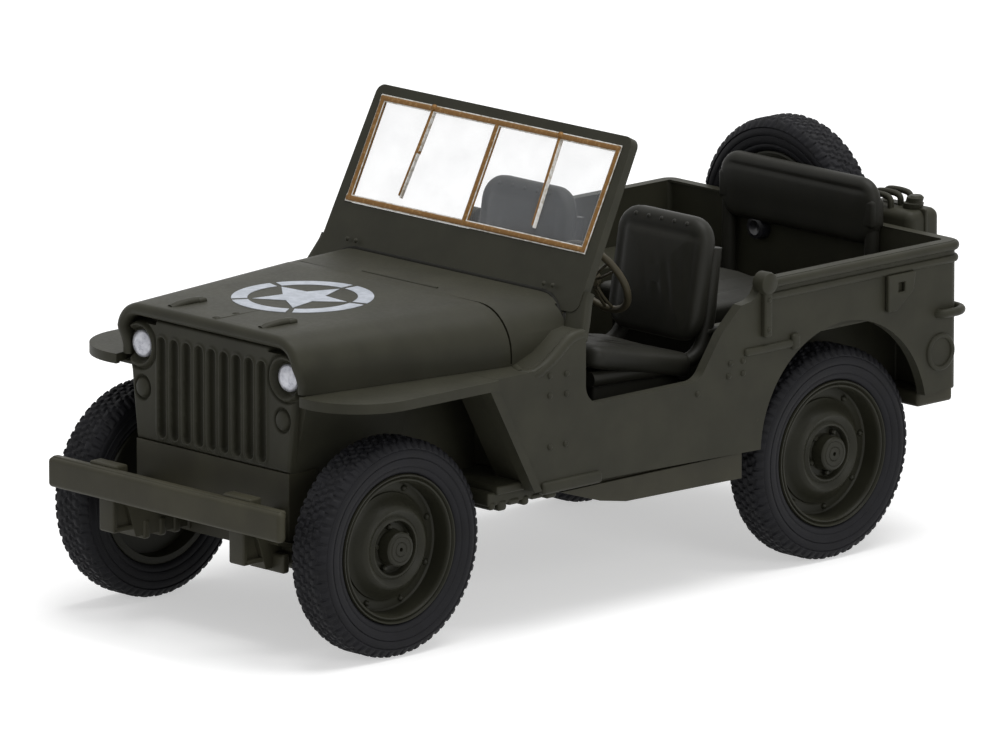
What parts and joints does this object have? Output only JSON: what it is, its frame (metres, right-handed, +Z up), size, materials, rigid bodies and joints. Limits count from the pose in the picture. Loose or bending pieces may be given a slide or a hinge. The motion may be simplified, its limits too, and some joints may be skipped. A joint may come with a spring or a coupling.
{
  "type": "die-cast toy army 4x4 car",
  "caption": "Small open army 4x4 scale model: slotted grille, flat fenders, folding-type windscreen, spare wheel and fuel can at the rear, wheels that roll on steel pins.",
  "frame": {"origin": "on the ground under the middle of the car's overall length and width", "axes": "+X to the car's left, -Y to its front, +Z up"},
  "size_m": [0.0356, 0.0752, 0.0374],
  "materials": {
    "olive_paint": "matt olive drab lacquer",
    "base_plastic": "matt dark olive moulding",
    "cabin_plastic": "matt olive moulding",
    "wheel_plastic": "matt olive moulding",
    "peg_plastic": "black moulding",
    "tyre": "soft black rubber",
    "steel_pin": "plain steel wire",
    "clear_sheet": "clear sheet with a faint green tint",
    "gilt_trim": "gold brown metallic print",
    "lamp_lens": "pearly silver lens"
  },
  "bodies": {
    "body": {"left_side": "olive_paint", "right_side": "olive_paint", "rear_panel": "olive_paint", "floor_pan": "cabin_plastic", "wheel_boxes": "cabin_plastic", "hood": "olive_paint", "cowl": "olive_paint", "grille": "olive_paint", "left_fender": "olive_paint", "right_fender": "olive_paint", "windscreen_frame": "olive_paint", "windscreen_glass": "clear_sheet", "windscreen_trim": "gilt_trim", "dashboard": "cabin_plastic", "steering_wheel": "cabin_plastic", "gear_levers": "cabin_plastic", "driver_seat": "cabin_plastic", "passenger_seat": "cabin_plastic", "rear_bench": "cabin_plastic", "rear_backrest": "cabin_plastic", "headlights": "lamp_lens", "front_bumper": "olive_paint", "chassis_base": "base_plastic", "leaf_springs": "base_plastic", "grab_handles": "olive_paint", "corner_handles": "olive_paint", "bow_brackets": "olive_paint", "bumperettes": "base_plastic", "spare_peg": "peg_plastic", "spare_rim": "wheel_plastic", "spare_tyre": "tyre", "can_carrier": "olive_paint", "fuel_can": "olive_paint"},
    "front_axle": {"front_pin": "steel_pin", "front_left_rim": "wheel_plastic", "front_left_tyre": "tyre", "front_right_rim": "wheel_plastic", "front_right_tyre": "tyre"},
    "rear_axle": {"rear_pin": "steel_pin", "rear_left_rim": "wheel_plastic", "rear_left_tyre": "tyre", "rear_right_rim": "wheel_plastic", "rear_right_tyre": "tyre"}
  },
  "joints": [
    {"name": "front_axle_spin", "type": "hinge", "parent": "body", "child": "front_axle", "pos_m": [0, -0.0267, 0.00866], "axis": [1, 0, 0], "continuous": true},
    {"name": "rear_axle_spin", "type": "hinge", "parent": "body", "child": "rear_axle", "pos_m": [0, 0.0206, 0.00866], "axis": [1, 0, 0], "continuous": true}
  ]
}
